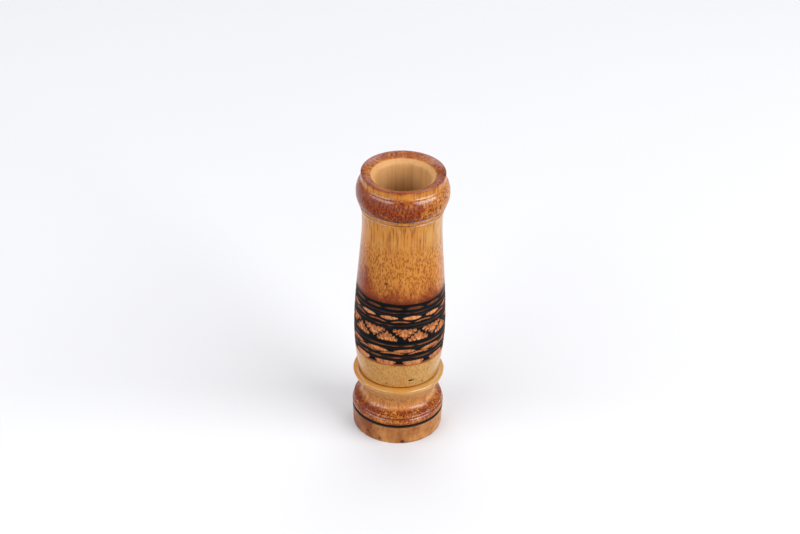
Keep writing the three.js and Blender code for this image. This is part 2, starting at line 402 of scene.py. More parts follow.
def barrel_outline():
    """The barrel's closed outline, from the bore's foot outwards and up, then down the bore."""
    low_deg = math.degrees(math.asin((LINE_HIGH[1] + 0.5 - ROLL_Z) / ROLL_HALF))
    high_deg = math.degrees(math.asin((LIP_Z - ROLL_Z) / ROLL_HALF))
    step_in = (STEP_R - 0.12, STEP_Z - 0.12)
    bore_top, bore_foot = (BORE_R, STEP_Z - 2.1), (BORE_R, 31.0)
    return np.concatenate([
        [(BORE_R, 29.75), (17.3, 29.55), (17.65, 29.6)],
        barrel_wall(),
        bezier((WAIST_R, WAIST_Z), (WAIST_R, 109), (17.6, 111.8), (LINE_LOW[0], LINE_LOW[1] - 0.5), 5),
        fine_line(LINE_LOW),
        fine_line(LINE_HIGH),
        arc((ROLL_R, ROLL_Z), (ROLL_OUT, ROLL_HALF), low_deg, high_deg, 16),
        [(LIP_R + 0.06, LIP_Z + 0.12)],
        straight((LIP_R, LIP_Z + 0.3), (LIP_R, HEIGHT - 0.6), 2),
        arc((LIP_R - 0.5, HEIGHT - 0.5), (0.5, 0.5), 10, 90, 4),
        bezier((LIP_R - 0.5, HEIGHT), (17, HEIGHT - 0.2), (15.4, HEIGHT - 0.9), (STEP_R, STEP_Z), 6),
        [step_in],
        bezier(step_in, (13.2, STEP_Z - 0.8), (12.4, STEP_Z - 1.4), bore_top, 5),
        stepped(bore_top, bore_foot, (0.02, 0.06, 0.12, 0.25, 0.5, 1.0)),
    ])


def blemishes(r, z, theta):
    """The darkness of the marks, each an oval with a soft edge."""
    dark = np.zeros_like(z)
    for angle, height, half_width, half_height, strength in MARKS:
        across = np.radians((np.degrees(theta) - angle + 180) % 360 - 180) * r
        distance = np.hypot(across / half_width, (z - height) / half_height)
        dark = np.maximum(dark, strength * smooth(1.25, 0.55, distance))
    return dark


def barrel_tone(r, z, theta):
    """Redness, streak strength, shortness of the grain and dark specks over the barrel."""
    red, streak, short, speck = (stops(z, *s) for s in (REDNESS, STREAKS, SHORT_GRAIN, SPECKS))
    face = smooth(STEP_Z - 0.15, STEP_Z - 0.05, z) * smooth(LIP_R + 0.02, LIP_R - 0.1, r)
    rim = stops(r, (14.0, 0.56), (14.6, 0.74), (17.2, 0.84), (17.7, 1.15)) + 0.14 * np.cos(theta) ** 2
    left = -np.sin(theta) * (1 - 0.45 * np.sin(theta) ** 2)  # the left side is redder and darker all the way up: partly the bamboo's own colour, partly painted shade for the dimmer light on that side
    red = red * (1 - face) + rim * face + 0.15 * left * (1 - 1.2 * face)
    # The roll's right side is painted paler: a painted reflection of the bright surroundings.
    roll = smooth(115.8, 116.4, z) * smooth(126.4, 125.8, z)
    red -= 0.3 * roll * smooth(0.25, 0.55, -left)
    speck = speck * (1 - face) + (0.4 + 1.0 * np.sin(theta) ** 2) * face
    inner = smooth(STEP_R + 0.02, STEP_R - 0.1, r)
    # Deeper down the bore the wall is painted redder and darker, as painted shade, with stronger streaks.
    deep = smooth(HEIGHT - 3, HEIGHT - 28, z) * smooth(12.5, 12.3, r)
    red = red * (1 - inner) + (0.02 + 0.3 * deep) * inner
    streak = streak * (1 - inner) + (0.22 + 0.15 * deep) * inner
    return red, streak, short * (1 - inner), speck * (1 - inner)


def build_barrel(varnished, carved):
    """The barrel, carved in the mesh; the band and the bore have no varnish."""
    outline = barrel_outline()
    theta = angles(AROUND)[None, :] + np.zeros((len(outline), 1))
    r = np.repeat(outline[:, 0:1], AROUND, 1)
    z = np.repeat(outline[:, 1:2], AROUND, 1)
    outside = r > BORE_R + 1
    near_band = outside & (z > 31) & (z < 80)
    band = carve(theta, z)
    layers = (band.depth, band.burn, band.cut, band.red)
    depth, burn, cut, red = (np.where(near_band, layer, 0) for layer in layers)
    for _, height in (LINE_LOW, LINE_HIGH):
        burn = np.maximum(burn, 0.75 * smooth(0.27, 0.08, np.abs(z - height)) * outside)
    burn = np.maximum(burn, blemishes(r, z, theta) * outside)
    mesh = turned_mesh("barrel_turned", r - depth, z, theta)
    paint(mesh, "tone", *barrel_tone(r, z, theta))
    paint(mesh, "carve", burn, cut, red, smooth(STEP_R, STEP_R - 0.12, r))
    in_band = (outline[:, 1] > BAND_FOOT) & (outline[:, 1] < BAND_TOP) & (outline[:, 0] > BORE_R + 1)
    unvarnished = in_band | (outline[:, 0] < STEP_R)
    mesh.polygons.foreach_set("material_index", np.repeat(unvarnished, AROUND).astype(np.int32))
    place("barrel_turned", mesh, (varnished, carved), "barrel", "barrel")


def build_ring(name, outline, tone, material, body, node, sway=0.0, burn=None, bare=None):
    """A turned piece with no carving.

    tone gives its grain values, burn its scorch and bare its pale raw wood, in the stopper's cove partly
    painted light; sway is how far it is out of round, as a share of its radius.
    """
    theta = angles(AROUND_PLAIN)[None, :] + np.zeros((len(outline), 1))
    r = np.repeat(outline[:, 0:1], AROUND_PLAIN, 1)
    z = np.repeat(outline[:, 1:2], AROUND_PLAIN, 1)
    r = r * (1 + sway * np.sin(theta * 3 + 1.1))
    mesh = turned_mesh(name, r, z, theta)
    paint(mesh, "tone", *tone(r, z, theta))
    scorch = burn(r, z) if burn else 0 * r
    raw = bare(r, z) if bare else 0 * r
    paint(mesh, "carve", scorch, raw)
    place(name, mesh, (material,), body, node)


def collar_outline():
    """The bead, its underside close on the cove below."""
    hole = RING_BORE_R + 0.1
    return np.concatenate([
        straight((hole, COLLAR_FOOT), (19.8, COLLAR_FOOT), 3),
        bezier((19.8, COLLAR_FOOT), (20.25, 27.55), (20.5, 27.9), (COLLAR_R, 28.4), 8),
        bezier((COLLAR_R, 28.4), (20.2, 29.0), (19.2, COLLAR_TOP), (17.9, COLLAR_TOP), 12),
        straight((17.9, COLLAR_TOP), (hole, COLLAR_TOP), 3),
    ])


def collar_tone(r, z, theta):
    # The top's inner edge is painted dark red, as painted shade in the crevice under the barrel; the left
    # side is redder, partly its own colour, partly painted shade.
    red = 0.22 - 0.1 * np.sin(theta) + 0.6 * smooth(18.2, 17.8, r)
    return red, 0.2 + 0 * r, 0.1 + 0 * r, NO_SPECKS + 0 * r


def shell_outline():
    """A cove that flares out over two small ridges."""
    valley, crest, cove = (19.72, 13.2), (20.62, 11.8), (COVE_R, COVE_Z)
    return np.concatenate([
        straight((RING_BORE_R, SHELL_TOP), (RING_BORE_R, SHELL_FOOT + 0.05), 6),
        [(RING_BORE_R + 0.1, SHELL_FOOT)],
        straight((RING_BORE_R + 0.1, SHELL_FOOT), (19.5, SHELL_FOOT), 3),
        bezier((19.5, SHELL_FOOT), (19.9, 9.85), (20.15, 10.1), (20.3, 10.4), 6),
        bezier((20.3, 10.4), (20.62, 10.9), (20.75, 11.5), crest, 8),
        bezier(crest, (20.5, 12.1), (20.1, 13.15), valley, 10),
        bezier(valley, (19.95, 13.25), (20.12, 13.7), (20.0, 14.1), 7),
        bezier((20.0, 14.1), (19.9, 14.45), (19.7, 14.6), (19.45, 14.65), 6),
        [(19.3, 14.72)],
        bezier((19.3, 14.72), (18.1, 15.45), (17.6, 15.8), (16.95, 16.35), 8),
        bezier((16.95, 16.35), (16.3, 16.9), (COVE_R, 17.5), cove, 12),
        bezier(cove, (COVE_R, 20.8), (18.6, 24.6), (19.85, 26.6), 26),
        bezier((19.85, 26.6), (20.05, 27.0), (20.2, 27.3), (20.1, SHELL_TOP), 4),
        straight((20.1, SHELL_TOP), (RING_BORE_R + 0.2, SHELL_TOP), 3),
    ])


def shell_tone(r, z, theta):
    # The cove's upper part gets the palest tone, partly its own colour, partly painted light against the
    # collar's shade; the left side is redder, partly its own colour, partly painted shade.
    red = stops(z, (9.8, 0.95), (10.6, 0.8), (12.0, 0.72), (13.2, 0.95), (14.2, 0.72), (15.4, 0.84),
                (16.6, 0.5), (18.2, 0.22), (21, 0.0), (27.5, 0.0))
    streak = stops(z, (9.8, 0.9), (13.6, 1.1), (15.0, 1.5), (16.0, 2.2), (21.5, 1.9), (24.0, 0.5), (26, 0.15))
    short = stops(z, (9.8, 0.8), (15.8, 1.0), (16.4, 0.0))
    return red - 0.1 * np.sin(theta), streak, short, NO_SPECKS + 0 * r


def shell_raw_and_painted_light(r, z):
    """The cove is paler than the rest, nearly raw: partly its own pale wood, partly painted light that lifts
    the shade under the collar.
    """
    return 0.42 * smooth(15.2, 17.8, z) * smooth(27.45, 26.5, z) * (r > COVE_R - 1)


def shell_burn(r, z):
    """The burned line's upper half."""
    return smooth(10.25, 9.95, z) * smooth(18.5, 19.2, r)


def base_outline():
    """The ring on which the call stands, its rim rounded towards the burned line above."""
    foot, rim = (BASE_FOOT_R, 0.0), (BASE_R, 8.8)
    return np.concatenate([
        [(RING_BORE_R, 0.2), (RING_BORE_R + 0.2, 0.0)],
        straight((RING_BORE_R + 0.2, 0.0), foot, 4),
        arc((BASE_FOOT_R, 0.4), (0.4, 0.4), -80, 0, 4),
        bezier((20.1, 0.45), (20.1, 3.0), (20.3, 6.0), (BASE_R, 8.3), 12),
        straight((BASE_R, 8.3), rim, 2),
        bezier(rim, (BASE_R, 9.15), (20.0, 9.4), (19.4, BASE_TOP), 7),
        straight((19.4, BASE_TOP), (RING_BORE_R + 0.1, BASE_TOP), 4),
        straight((RING_BORE_R, BASE_TOP - 0.1), (RING_BORE_R, 0.5), 4),
    ])


def base_tone(r, z, theta):
    # The left side is redder and darker: partly its own colour, partly painted shade for the dimmer light on
    # that side.
    return 0.5 - 0.3 * np.sin(theta), 0.25 + 0 * r, 1.0 + 0 * r, 0.3 + 0 * r


def base_burn(r, z):
    """The burned line's lower half."""
    return smooth(8.85, 9.1, z) * smooth(18.5, 19.2, r)


def core_outline():
    """The core: bell mouth, exhaust bore, socket, and a rebate for the cork."""
    bell = (9.3, CORE_FOOT)
    return np.concatenate([
        bezier(bell, (8.6, 1.3), (6.2, 4.0), (EXHAUST_R, 9.0), 12)[::-1],
        [bell],
        straight((9.6, CORE_FOOT), (CORE_R - 0.2, CORE_FOOT), 2),
        [(CORE_R, CORE_FOOT + 0.25)],
        straight((CORE_R, CORE_FOOT + 0.4), (CORE_R, REBATE_FOOT - 0.05), 8),
        [(CORE_R - 0.1, REBATE_FOOT)],
        straight((CORE_R - 0.2, REBATE_FOOT), (REBATE_R, REBATE_FOOT), 2),
        straight((REBATE_R, REBATE_FOOT + 0.1), (REBATE_R, REBATE_TOP - 0.1), 6),
        straight((REBATE_R + 0.05, REBATE_TOP), (CORE_R - 0.15, REBATE_TOP), 3),
        [(CORE_R - 0.02, REBATE_TOP + 0.1)],
        straight((CORE_R, REBATE_TOP + 0.2), (CORE_R, CORE_TOP - 0.9), 3),
        arc((CORE_R - 0.8, CORE_TOP - 0.8), (0.8, 0.8), 0, 90, 5),
        straight((CORE_R - 0.9, CORE_TOP), (SOCKET_R + 0.3, CORE_TOP), 3),
        [(SOCKET_R + 0.05, CORE_TOP - 0.1)],
        straight((SOCKET_R, CORE_TOP - 0.2), (SOCKET_R, SOCKET_FOOT + 0.1), 8),
        [(SOCKET_R - 0.1, SOCKET_FOOT)],
        straight((SOCKET_R - 0.2, SOCKET_FOOT), (EXHAUST_R + 0.2, SOCKET_FOOT), 2),
        [(EXHAUST_R, SOCKET_FOOT - 0.2)],
        straight((EXHAUST_R, SOCKET_FOOT - 0.5), (EXHAUST_R, 9.5), 8),
    ])


def cork_outline():
    """The cork sleeve, its edges rounded."""
    return np.concatenate([
        straight((CORK_IN, CORK_FOOT), (CORK_R - 0.45, CORK_FOOT), 2),
        arc((CORK_R - 0.5, CORK_FOOT + 0.5), (0.5, 0.5), -80, 0, 5),
        straight((CORK_R, CORK_FOOT + 0.7), (CORK_R, CORK_TOP - 0.7), 24),
        arc((CORK_R - 0.5, CORK_TOP - 0.5), (0.5, 0.5), 0, 80, 5),
        straight((CORK_R - 0.55, CORK_TOP), (CORK_IN, CORK_TOP), 2),
        straight((CORK_IN, CORK_TOP - 0.2), (CORK_IN, CORK_FOOT + 0.3), 4),
    ])


def plain_tone(r, z, theta):
    return 0.3 + 0 * r, 0.3 + 0 * r, 0.3 + 0 * r, 0 * r


# ---------------------------------------------------------------- sounding parts

def mesh_from_loops(name, loops):
    """A closed mesh through closed loops of points, with a face over each end."""
    rows, columns = loops.shape[:2]
    faces = []
    for i in range(rows - 1):
        for j in range(columns):
            k = (j + 1) % columns
            faces.append((i * columns + j, i * columns + k, (i + 1) * columns + k, (i + 1) * columns + j))
    faces.append(tuple(reversed(range(columns))))
    faces.append(tuple(range((rows - 1) * columns, rows * columns)))
    mesh = bpy.data.meshes.new(name)
    mesh.from_pydata((loops.reshape(-1, 3) * MM).tolist(), [], faces)
    mesh.validate()
    return mesh


def soften(piece, width):
    """Rounds the sharp edges a little, as sanding does, and shades the rest smooth."""
    bevel = piece.modifiers.new("edges", "BEVEL")
    bevel.width = width * MM
    bevel.segments = 2
    bevel.limit_method = "ANGLE"
    bevel.angle_limit = math.radians(35)
    piece.data.shade_smooth()
    normals = piece.modifiers.new("normals", "WEIGHTED_NORMAL")
    normals.keep_sharp = True


def board_section(z):
    """The tone board's section: a face with a trough in it, and a round back."""
    along = max(0.0, (z - CURVE_Z) / (BOARD_Z[1] - CURVE_Z))
    face = BOARD_FACE + (BOARD_TIP - BOARD_FACE) * along ** 2
    end = max(0.0, (z - (TROUGH_END - TROUGH_ROUND)) / TROUGH_ROUND)
    deep = TROUGH_R * math.sqrt(max(0.0, 1 - min(end, 1) ** 2))
    bottom = max(BOARD_FACE + deep, face + 0.001)
    half = math.sqrt(max(deep ** 2 - (face - BOARD_FACE) ** 2, 0.0004))
    chord = math.sqrt(BOARD_R ** 2 - face ** 2)
    right = [(x, face) for x in np.linspace(chord, half, 5)[:-1]]
    turn = np.linspace(0, math.pi, 15)
    trough = [(half * math.cos(a), face + (bottom - face) * math.sin(a)) for a in turn]
    left = [(x, face) for x in np.linspace(-half, -chord, 5)[1:]]
    start = math.asin(face / BOARD_R)
    back = [(BOARD_R * math.cos(a), BOARD_R * math.sin(a))
            for a in np.linspace(math.pi - start, start, 34)[1:-1]]
    return np.array([(x, y, z) for x, y in right + trough + left + back])[::-1]


def build_tone_board(material):
    """The board, its rows close together where the trough rounds off."""
    heights = np.concatenate([
        np.linspace(BOARD_Z[0], CURVE_Z, 14),
        np.linspace(CURVE_Z, TROUGH_END - TROUGH_ROUND, 14)[1:],
        np.linspace(TROUGH_END - TROUGH_ROUND, TROUGH_END, 9)[1:],
        np.linspace(TROUGH_END, BOARD_Z[1], 6)[1:],
    ])
    mesh = mesh_from_loops("tone_board_carved", np.array([board_section(z) for z in heights]))
    piece = place("tone_board_carved", mesh, (material,), "board", "tone_board")
    soften(piece, 0.18)


def build_reed(material):
    """A thin strip with rounded front corners, shaved thinner towards its tip."""
    low_y, high_y = REED_Y
    foot, tip = REED_Z
    shoulder = tip - REED_CORNER
    heights = np.concatenate([
        np.linspace(foot, shoulder, 16),
        tip - REED_CORNER * np.cos(np.linspace(0.2, 1.5, 9)),
    ])
    loops = []
    for z in heights:
        corner = max(0.0, (z - shoulder) / REED_CORNER)
        half = REED_HALF - (REED_HALF - REED_TIP_HALF) * (1 - math.sqrt(max(0.0, 1 - corner ** 2)))
        shaved_y = low_y + REED_SHAVED * smooth(REED_SHAVED_FROM, tip, z)
        loops.append([(-half, shaved_y, z), (half, shaved_y, z), (half, high_y, z), (-half, high_y, z)])
    mesh = mesh_from_loops("reed_blade", np.array(loops))
    piece = place("reed_blade", mesh, (material,), "reed", "reed")
    soften(piece, 0.08)


def wedge_section(z):
    """The wedge's section: a flat face against the reed and a round back, planed off at the top."""
    lean = WEDGE_SLOPE * smooth(*WEDGE_SLOPE_Z, z)
    start = math.asin(WEDGE_FACE / BOARD_R)
    sweep = np.linspace(start, -math.pi - start, 40)
    back = [(BOARD_R * math.cos(a), max(BOARD_R * math.sin(a), -BOARD_R + lean)) for a in sweep]
    face = [(x, WEDGE_FACE) for x in np.linspace(back[-1][0], back[0][0], 12)[1:-1]]
    return np.array([(x, y, z) for x, y in back + face])


def build_wedge(material):
    """The cork wedge, pushed in beside the board."""
    heights = np.linspace(*WEDGE_Z, 22)
    loops = np.array([wedge_section(z)[::-1] for z in heights])
    mesh = mesh_from_loops("wedge_cork", loops)
    piece = place("wedge_cork", mesh, (material,), "wedge", "wedge_block")
    soften(piece, 0.25)


# ---------------------------------------------------------------- materials

def colour(red, green, blue):
    """A screen colour of 0 to 255 a channel, as a linear one."""
    def linear(value):
        value /= 255
        return value / 12.92 if value <= 0.04045 else ((value + 0.055) / 1.055) ** 2.4
    return linear(red), linear(green), linear(blue), 1.0


# Bamboo, from pale to burned
RAW = colour(188, 143, 96)
PALE = colour(172, 132, 74)
GOLD = colour(176, 112, 40)
RUSSET = colour(129, 51, 6)
STREAK_PALE = colour(122, 58, 5)
STREAK_DARK = colour(82, 26, 3)
SPECK = colour(58, 26, 16)
CUT_LIGHT = colour(198, 136, 86)
CUT_DARK = colour(154, 80, 34)
CUT_RED = colour(90, 30, 9)
CUT_EDGE = colour(122, 56, 27)
SCORCHED = colour(60, 24, 11)
CHARRED = colour(4, 5, 7)

# The rubbed base ring
BASE_LIGHT = colour(178, 122, 64)
BASE_DARK = colour(124, 62, 22)
BASE_BAND = colour(117, 62, 29)
BASE_FIBRE = colour(104, 53, 29)
BASE_PORE = colour(56, 22, 14)
BASE_LINE = colour(24, 17, 15)

# The woods, cork and cane inside, as pairs of light and dark
CORE_WOOD = colour(184, 142, 94), colour(148, 102, 60)
BOARD_WOOD = colour(158, 104, 60), colour(114, 66, 36)
WOOD_PORE = colour(92, 52, 28)
CORK_GRAINS = colour(186, 144, 100), colour(158, 111, 72)
CORK_SEAM = colour(130, 84, 50)
CORK_HOLE = colour(84, 50, 30)
CANE = colour(206, 182, 124), colour(178, 146, 88)
CANE_STAIN = colour(176, 130, 72)

STUDIO_FLOOR = colour(203, 203, 206), colour(206, 206, 209)
DAYLIGHT = (0.96, 0.975, 1.0, 1.0)


class Material:
    """A node material, with short calls for the nodes that the looks here need."""

    def __init__(self, name):
        self.material = bpy.data.materials.new(name)
        self.material.use_nodes = True
        self.tree = self.material.node_tree
        self.shader = self.tree.nodes["Principled BSDF"]
        coordinates = self.tree.nodes.new("ShaderNodeTexCoord")
        self.place = coordinates.outputs["Object"]

    def put(self, target, value):
        """Sets an input, or links it where the value is another node's output."""
        if isinstance(value, bpy.types.NodeSocket):
            self.tree.links.new(value, target)
        else:
            target.default_value = value

    def math(self, operation, a, b=0.0, clamp=False):
        node = self.tree.nodes.new("ShaderNodeMath")
        node.operation = operation
        node.use_clamp = clamp
        self.put(node.inputs[0], a)
        self.put(node.inputs[1], b)
        return node.outputs[0]

    def scaled(self, x, y, z):
        """Object coordinates, as so many features to the metre along each axis."""
        node = self.tree.nodes.new("ShaderNodeMapping")
        self.put(node.inputs["Vector"], self.place)
        node.inputs["Scale"].default_value = (x, y, z)
        return node.outputs[0]

    def noise(self, vector, detail=2.0, roughness=0.5, distortion=0.0):
        node = self.tree.nodes.new("ShaderNodeTexNoise")
        self.put(node.inputs["Vector"], vector)
        node.inputs["Scale"].default_value = 1.0
        node.inputs["Detail"].default_value = detail
        node.inputs["Roughness"].default_value = roughness
        node.inputs["Distortion"].default_value = distortion
        return node.outputs["Fac"]

    def voronoi(self, vector, output="Distance"):
        """Cells: the distance to the nearest middle, or a colour for each."""
        node = self.tree.nodes.new("ShaderNodeTexVoronoi")
        self.put(node.inputs["Vector"], vector)
        node.inputs["Scale"].default_value = 1.0
        node.inputs["Randomness"].default_value = 1.0
        return node.outputs[output]

    def ramp(self, value, low, high, out_low=0.0, out_high=1.0):
        """A smooth step of a value between low and high."""
        node = self.tree.nodes.new("ShaderNodeMapRange")
        node.interpolation_type = "SMOOTHSTEP"
        self.put(node.inputs["Value"], value)
        node.inputs["From Min"].default_value = low
        node.inputs["From Max"].default_value = high
        node.inputs["To Min"].default_value = out_low
        node.inputs["To Max"].default_value = out_high
        return node.outputs["Result"]

    def mix(self, factor, a, b):
        """A mix of two colours."""
        node = self.tree.nodes.new("ShaderNodeMix")
        node.data_type = "RGBA"
        self.put(node.inputs["Factor"], factor)
        self.put(node.inputs[6], a)
        self.put(node.inputs[7], b)
        return node.outputs[2]

    def painted(self, layer):
        """The four channels that paint() stored."""
        node = self.tree.nodes.new("ShaderNodeAttribute")
        node.attribute_name = layer
        split = self.tree.nodes.new("ShaderNodeSeparateColor")
        self.tree.links.new(node.outputs["Color"], split.inputs[0])
        return split.outputs[0], split.outputs[1], split.outputs[2], node.outputs["Alpha"]

    def grey(self, value):
        """The red channel of a colour."""
        split = self.tree.nodes.new("ShaderNodeSeparateColor")
        self.tree.links.new(value, split.inputs[0])
        return split.outputs[0]

    def distance(self):
        """The distance from the object's origin."""
        node = self.tree.nodes.new("ShaderNodeVectorMath")
        node.operation = "LENGTH"
        self.put(node.inputs[0], self.place)
        return node.outputs["Value"]

    def shifted(self, vector, amount):
        """A vector, moved the same way along every axis."""
        join = self.tree.nodes.new("ShaderNodeVectorMath")
        join.operation = "ADD"
        self.put(join.inputs[0], vector)
        self.put(join.inputs[1], amount)
        return join.outputs[0]

    def bump(self, height, strength, distance):
        """Relief from a height, its distance in mm."""
        node = self.tree.nodes.new("ShaderNodeBump")
        node.inputs["Strength"].default_value = strength
        node.inputs["Distance"].default_value = distance * MM
        self.put(node.inputs["Height"], height)
        self.tree.links.new(node.outputs["Normal"], self.shader.inputs["Normal"])

    def finish(self, base, roughness, **sockets):
        """Sets the surface: a colour, a roughness, and plain values for other sockets."""
        self.put(self.shader.inputs["Base Color"], base)
        self.put(self.shader.inputs["Roughness"], roughness)
        for name, value in sockets.items():
            self.shader.inputs[name.replace("_", " ")].default_value = value
        return self.material


def bamboo(name, roughness, specular, relief):
    """Bamboo: fibre bundles that run along Z, cut open by the turned surface, stained and burned."""
    m = Material(name)
    red, streak, short, speck_share = m.painted("tone")
    # cut is bare cut wood; in the stopper's cove it also paints paler wood, as painted light against the
    # collar's shade.
    burn, cut, cut_red, bore = m.painted("carve")

    # The fibres: long where the wall runs along them, short dots where it cuts across
    sway = m.math("MULTIPLY", m.noise(m.scaled(260, 260, 160)), 2.0)
    bundles = m.voronoi(m.shifted(m.scaled(1250, 1250, 30), m.math("MULTIPLY", sway, 0.25)))
    flecks = m.voronoi(m.shifted(m.scaled(1450, 1450, 560), sway))
    fine = m.noise(m.scaled(2200, 2200, 850), detail=1)
    flecks = m.math("ADD", flecks, m.math("SUBTRACT", fine, 0.5))
    patch = m.ramp(m.noise(m.scaled(420, 420, 90), detail=3, roughness=0.6), 0.36, 0.6, 0.35, 1.0)
    long_mask = m.math("MULTIPLY", m.ramp(bundles, 0.6, 0.24), patch)
    short_mask = m.ramp(flecks, 0.7, 0.2)
    pick = m.grey(m.mix(short, long_mask, short_mask))
    fibre = m.math("MULTIPLY", pick, streak, clamp=True)

    # The wood between them, its redness uneven on a large and a small scale
    cloud = m.noise(m.scaled(90, 90, 45), detail=3, roughness=0.55)
    mottle = m.noise(m.scaled(520, 520, 360), detail=3, roughness=0.65)
    hue = m.math("ADD", red, m.math("MULTIPLY", m.math("SUBTRACT", cloud, 0.5), 0.8))
    hue = m.math("ADD", hue, m.math("MULTIPLY", m.math("SUBTRACT", mottle, 0.5),
                                    m.math("MULTIPLY", streak, 0.95)), clamp=True)
    pale = m.mix(m.ramp(hue, 0.0, 0.5), PALE, GOLD)
    base = m.mix(m.ramp(hue, 0.5, 1.0), pale, RUSSET)
    base = m.mix(m.math("MULTIPLY", bore, 0.85), base, RAW)
    base = m.mix(fibre, base, m.mix(m.ramp(hue, 0.2, 1.0), STREAK_PALE, STREAK_DARK))

    # Dark specks, gathered in places
    spots = m.voronoi(m.scaled(480, 480, 480))
    there = m.noise(m.scaled(140, 140, 140))
    wanted = m.math("LESS_THAN", m.math("SUBTRACT", 0.68, m.math("MULTIPLY", speck_share, 0.22)), there)
    speck = m.math("MULTIPLY", m.ramp(spots, 0.34, 0.2), wanted)
    base = m.mix(m.math("MULTIPLY", speck, 0.8), base, SPECK)

    # Fresh cuts, then the scorch over everything
    grain = m.noise(m.scaled(900, 900, 240), detail=3, roughness=0.6)
    fresh = m.mix(m.ramp(grain, 0.35, 0.7), CUT_LIGHT, CUT_DARK)
    fresh = m.mix(m.math("MULTIPLY", cut_red, 0.8, clamp=True), fresh, CUT_RED)
    edge_red = m.math("MULTIPLY", cut_red, m.math("SUBTRACT", 1.0, cut), clamp=True)
    base = m.mix(edge_red, base, CUT_EDGE)
    base = m.mix(cut, base, fresh)
    char = m.math("MULTIPLY", burn, m.ramp(grain, 0.2, 0.45, 0.86, 1.0), clamp=True)
    scorch = m.mix(m.ramp(char, 0.25, 0.8), SCORCHED, CHARRED)
    base = m.mix(m.ramp(char, 0.02, 0.55), base, scorch)

    worked = m.math("MAXIMUM", cut, burn, clamp=True)
    shine = m.math("ADD", roughness, m.math("MULTIPLY", fibre, 0.06))
    shine = m.math("ADD", shine, m.math("MULTIPLY", worked, 0.22))
    height = m.math("MULTIPLY", fibre, -0.4)
    height = m.math("ADD", height, m.math("MULTIPLY", m.math("MULTIPLY", grain, cut), 0.8))
    m.bump(height, relief, 0.1)
    return m.finish(base, shine, Specular_IOR_Level=specular)


def bare_bamboo(name):
    """The base ring: bamboo rubbed down, matte, with a few dark pores."""
    m = Material(name)
    red, _, _, _ = m.painted("tone")
    burn, _, _, _ = m.painted("carve")
    cloud = m.noise(m.scaled(110, 110, 90), detail=4, roughness=0.6)
    bands = m.noise(m.scaled(40, 40, 700), detail=3)
    fibres = m.voronoi(m.scaled(1100, 1100, 240))
    hue = m.math("ADD", red, m.math("MULTIPLY", m.math("SUBTRACT", cloud, 0.5), 2.4), clamp=True)
    base = m.mix(m.ramp(hue, 0.1, 0.9), BASE_LIGHT, BASE_DARK)
    base = m.mix(m.ramp(bands, 0.48, 0.66, 0.0, 0.4), base, BASE_BAND)
    base = m.mix(m.ramp(fibres, 0.5, 0.25, 0.0, 0.2), base, BASE_FIBRE)
    pores = m.voronoi(m.scaled(150, 150, 150))
    pore = m.math("MULTIPLY", m.ramp(pores, 0.18, 0.1), m.ramp(cloud, 0.36, 0.42))
    base = m.mix(m.math("MULTIPLY", pore, 0.85), base, BASE_PORE)
    base = m.mix(m.ramp(burn, 0.1, 0.7), base, BASE_LINE)
    m.bump(m.math("ADD", bands, m.math("MULTIPLY", fibres, 0.5)), 0.3, 0.1)
    return m.finish(base, m.ramp(cloud, 0.3, 0.7, 0.42, 0.55), Specular_IOR_Level=0.3)


def plain_wood(name, light, dark, roughness):
    """A fine straight-grained wood for the parts inside."""
    m = Material(name)
    rings = m.noise(m.scaled(420, 120, 14), detail=4, roughness=0.6, distortion=0.4)
    pores = m.voronoi(m.scaled(2600, 2600, 160))
    base = m.mix(m.ramp(rings, 0.35, 0.68), light, dark)
    base = m.mix(m.ramp(pores, 0.3, 0.1, 0.0, 0.4), base, WOOD_PORE)
    m.bump(m.math("ADD", rings, m.math("MULTIPLY", pores, 0.4)), 0.25, 0.1)
    return m.finish(base, m.ramp(rings, 0.3, 0.7, roughness - 0.06, roughness + 0.06))


def cork(name):
    """Cork: pressed granules with dark pores."""
    m = Material(name)
    granules = m.scaled(900, 900, 900)
    seams = m.voronoi(granules)
    holes = m.noise(m.scaled(700, 700, 1500), detail=3, roughness=0.7)
    base = m.mix(m.grey(m.voronoi(granules, "Color")), *CORK_GRAINS)
    base = m.mix(m.ramp(seams, 0.45, 0.8, 0.0, 0.45), base, CORK_SEAM)
    base = m.mix(m.ramp(holes, 0.62, 0.7, 0.0, 0.8), base, CORK_HOLE)
    m.bump(m.math("SUBTRACT", m.ramp(seams, 0.8, 0.3), m.ramp(holes, 0.6, 0.7)), 0.5, 0.2)
    return m.finish(base, m.ramp(holes, 0.3, 0.7, 0.8, 0.92))


def cane(name):
    """Shaved cane: pale, with fine long fibres."""
    m = Material(name)
    fibres = m.noise(m.scaled(3200, 900, 60), detail=3, roughness=0.6)
    cloud = m.noise(m.scaled(200, 200, 60))
    base = m.mix(m.ramp(fibres, 0.35, 0.65), *CANE)
    base = m.mix(m.ramp(cloud, 0.5, 0.8, 0.0, 0.4), base, CANE_STAIN)
    m.bump(fibres, 0.2, 0.05)
    return m.finish(base, m.ramp(fibres, 0.3, 0.7, 0.38, 0.5))


def studio_white(name):
    """The pale sweep that the call stands on, glowing a little where it is far away."""
    m = Material(name)
    m.put(m.shader.inputs["Emission Strength"], m.ramp(m.distance(), *GLOW_FROM_TO, 0.0, GLOW))
    base = m.mix(m.noise(m.scaled(3, 3, 3)), *STUDIO_FLOOR)
    return m.finish(base, 0.75, Specular_IOR_Level=0.2, Emission_Color=DAYLIGHT)


# ---------------------------------------------------------------- scene

CAMERA_ELEVATION = 32.72  # degrees above the floor
CAMERA_ROLL = 1.451
CAMERA_DISTANCE = 0.813  # metres to the point looked at
CAMERA_AIM = Vector((-0.00046, 0.0, 0.08176))
LENS, SENSOR = 83.82, 36.0

FLOOR_HALF, FLOOR_STEPS = 3.0, 24  # metres, and squares along a side
GLOW_FROM_TO, GLOW = (0.6, 1.5), 0.68  # the floor's glow: metres from the call, and strength
HORIZON, OVERHEAD, LOW_BEHIND = 0.9, 0.3, 0.95  # brightness of the surroundings


